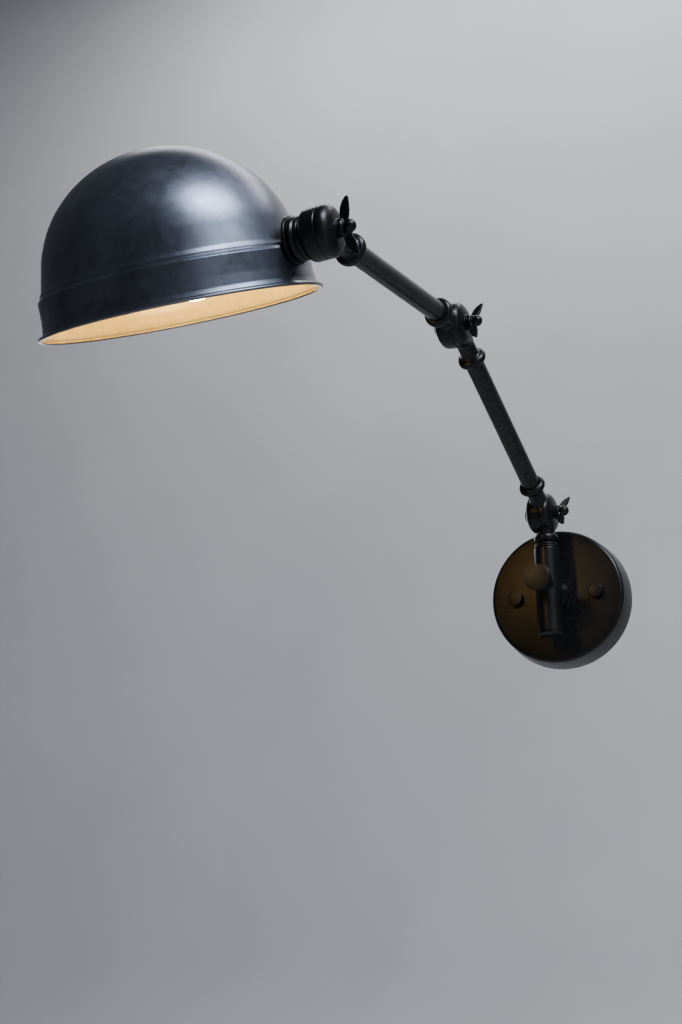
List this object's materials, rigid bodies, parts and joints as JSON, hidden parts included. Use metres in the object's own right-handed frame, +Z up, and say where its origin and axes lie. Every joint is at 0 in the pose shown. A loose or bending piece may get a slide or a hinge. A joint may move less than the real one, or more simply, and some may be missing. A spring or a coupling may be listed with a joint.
{
  "type": "swing arm wall sconce",
  "caption": "Swing arm wall sconce: a round canopy and swivelling post carry tubular arms on drum knuckles with wing nuts, and a side-held dome shade.",
  "frame": {"origin": "middle of the crossbar's back face, on the wall plane, at the centre of the round canopy", "axes": "+Y into the wall, -Y out into the room, +X to the right as seen from the room, +Z up"},
  "size_m": [0.3045, 0.5424, 0.2954],
  "materials": {
    "satin_black": "satin black powder coat",
    "shade_steel": "dark gunmetal steel with a satin lacquer, cream enamel inside",
    "dark_steel": "blackened steel",
    "zinc_steel": "bright zinc plate",
    "brass": "plain turned brass",
    "nickel": "nickel plated lamp cap",
    "black_resin": "moulded black phenolic resin",
    "white_nylon": "moulded white nylon",
    "opal_glass": "opal white lamp glass",
    "flex": "black sheathed two core flex"
  },
  "bodies": {
    "wall_mount": {"canopy": "satin_black", "crossbar": "zinc_steel", "stud_left": "zinc_steel", "stud_right": "zinc_steel", "cap_nut_left": "satin_black", "cap_nut_right": "satin_black", "earth_screw": "brass", "terminal_block": "white_nylon", "post_socket": "satin_black", "swivel_bush": "brass", "sleeve_plug": "satin_black", "socket_washer": "zinc_steel", "socket_nut": "zinc_steel", "canopy_flex": "flex"},
    "lock_knob": {"swivel_lock_knob": "satin_black"},
    "swivel": {"stem_knuckle": "satin_black", "swivel_pin": "brass", "retaining_clip": "dark_steel", "stem_flex": "flex", "washer_1": "dark_steel"},
    "lower_arm": {"lower_arm_base_knuckle": "satin_black", "lower_arm_tube": "satin_black", "lower_arm_end_knuckle": "satin_black", "lower_arm_flex": "flex", "bolt_1": "dark_steel", "washer_2": "dark_steel"},
    "upper_arm": {"upper_arm_base_knuckle": "satin_black", "upper_arm_tube": "satin_black", "upper_arm_end_knuckle": "satin_black", "upper_arm_flex": "flex", "bolt_2": "dark_steel", "washer_3": "dark_steel"},
    "shade_head": {"shade_holder": "satin_black", "shade": "shade_steel", "shade_nut": "zinc_steel", "lampholder_cap": "black_resin", "lampholder_skirt": "black_resin", "lampholder_contact": "brass", "bulb_cap": "nickel", "bulb_glass": "opal_glass", "bolt_3": "dark_steel"},
    "wing_nut_a": {"wing_nut_1": "satin_black"},
    "wing_nut_b": {"wing_nut_2": "satin_black"},
    "wing_nut_c": {"wing_nut_3": "satin_black"}
  },
  "joints": [
    {"name": "arm_swivel", "type": "hinge", "parent": "wall_mount", "child": "swivel", "pos_m": [0, -0.05, 0], "axis": [0, 0, 1], "range_deg": [-55, 85]},
    {"name": "swivel_lock_turn", "type": "hinge", "parent": "wall_mount", "child": "lock_knob", "pos_m": [0, -0.05, 0.003], "axis": [0, -1, 0], "range_deg": [-180, 180]},
    {"name": "lower_arm_lift", "type": "hinge", "parent": "swivel", "child": "lower_arm", "pos_m": [0, -0.05, 0.07], "axis": [-0.9983, 0.0576, 0], "range_deg": [-54, 58]},
    {"name": "upper_arm_lift", "type": "hinge", "parent": "lower_arm", "child": "upper_arm", "pos_m": [-0.01113, -0.24305, 0.17281], "axis": [-0.9983, 0.0576, 0], "range_deg": [-78, 108]},
    {"name": "shade_tilt", "type": "hinge", "parent": "upper_arm", "child": "shade_head", "pos_m": [-0.02365, -0.46023, 0.14764], "axis": [-0.9983, 0.0576, 0], "range_deg": [-110, 110]},
    {"name": "wing_nut_a_turn", "type": "hinge", "parent": "swivel", "child": "wing_nut_a", "pos_m": [0, -0.05, 0.07], "axis": [0.9983, -0.0576, 0], "range_deg": [-180, 180]},
    {"name": "wing_nut_b_turn", "type": "hinge", "parent": "lower_arm", "child": "wing_nut_b", "pos_m": [-0.01113, -0.24305, 0.17281], "axis": [0.9983, -0.0576, 0], "range_deg": [-180, 180]},
    {"name": "wing_nut_c_turn", "type": "hinge", "parent": "upper_arm", "child": "wing_nut_c", "pos_m": [-0.02365, -0.46023, 0.14764], "axis": [0.9983, -0.0576, 0], "range_deg": [-180, 180]}
  ]
}
